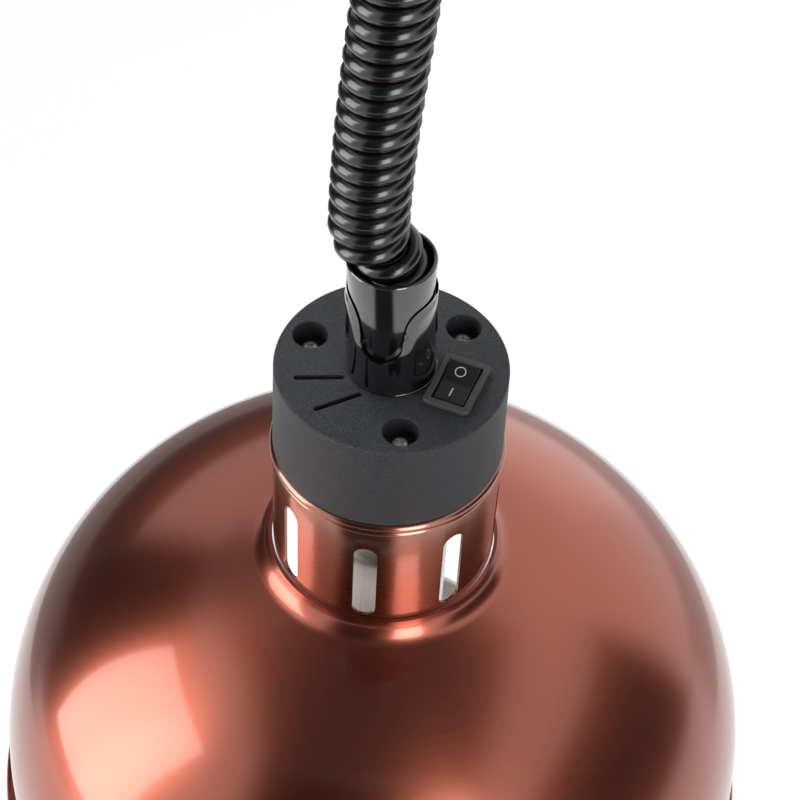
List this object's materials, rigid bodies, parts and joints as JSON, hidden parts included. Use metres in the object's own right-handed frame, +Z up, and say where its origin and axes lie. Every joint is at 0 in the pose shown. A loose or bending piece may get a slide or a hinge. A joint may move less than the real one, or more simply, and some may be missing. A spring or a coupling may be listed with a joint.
{
  "type": "retractable heat lamp",
  "caption": "Ceiling-hung heat lamp with a domed copper-coloured shade, slotted neck, switched black cap and a curly cord that lets the head rise and fall.",
  "frame": {"origin": "middle of the ceiling plate's top face, where it lies on the ceiling", "axes": "+Z up to the ceiling, the lamp hanging below; +Y away from the viewer of the picture, +X to the viewer's right"},
  "size_m": [0.2768, 0.2768, 0.493],
  "materials": {
    "copper_finish": "brushed round and lacquered copper colour",
    "cap_black": "fine-grained moulded black",
    "collar_black": "polished black",
    "switch_black": "satin black",
    "cord_black": "smooth black sheath",
    "grip_black": "moulded black",
    "zinc": "bright zinc plate",
    "steel": "galvanised sheet",
    "brass": "drawn brass",
    "bulb_cap_metal": "drawn aluminium",
    "ceramic": "glazed porcelain",
    "bulb_glass": "glass, metallised inside, with a frosted face",
    "clear_glass": "clear glass",
    "tungsten": "drawn wire",
    "wire_brown": "brown insulation",
    "wire_blue": "blue insulation",
    "wire_green": "green and yellow insulation"
  },
  "bodies": {
    "ceiling": {"ceiling_plate": "steel", "canopy_cup": "collar_black", "canopy_screw_left": "zinc", "canopy_screw_right": "zinc", "terminal_block": "ceramic", "canopy_gland": "grip_black", "gland_nut": "zinc", "canopy_wire_live": "wire_brown", "canopy_wire_neutral": "wire_blue", "canopy_wire_earth": "wire_green", "curly_cord": "cord_black"},
    "head": {"cord_sleeve": "collar_black", "collar_skirt": "collar_black", "cord_grip": "grip_black", "sleeve_nut": "zinc", "head_cap": "cap_black", "cap_screw_1": "zinc", "cap_screw_2": "zinc", "cap_screw_3": "zinc", "switch_housing": "switch_black", "switch_terminal_1": "brass", "switch_terminal_2": "brass", "shade_neck": "copper_finish", "shade_dome": "copper_finish", "holder_plate": "steel", "lampholder_body": "ceramic", "lampholder_shell": "brass", "lampholder_contact": "brass", "holder_screw_1": "zinc", "holder_screw_2": "zinc", "earth_screw": "zinc", "bulb_contact": "brass", "bulb_insulator": "collar_black", "bulb_cap": "bulb_cap_metal", "bulb_glass": "bulb_glass", "bulb_stem": "clear_glass", "bulb_filament": "tungsten", "wire_live": "wire_brown", "wire_switched": "wire_brown", "wire_neutral": "wire_blue", "wire_earth": "wire_green"},
    "rocker": {"switch_rocker": "switch_black"}
  },
  "joints": [
    {"name": "height_adjust", "type": "slide", "parent": "ceiling", "child": "head", "axis": [0, 0, -1], "range_m": [0, 0.8], "deforming": ["curly_cord"]},
    {"name": "switch_rock", "type": "hinge", "parent": "head", "child": "rocker", "pos_m": [0.01995, -0.00814, -0.2737], "axis": [-0.9259, 0.3778, 0], "range_deg": [0, 18]}
  ]
}
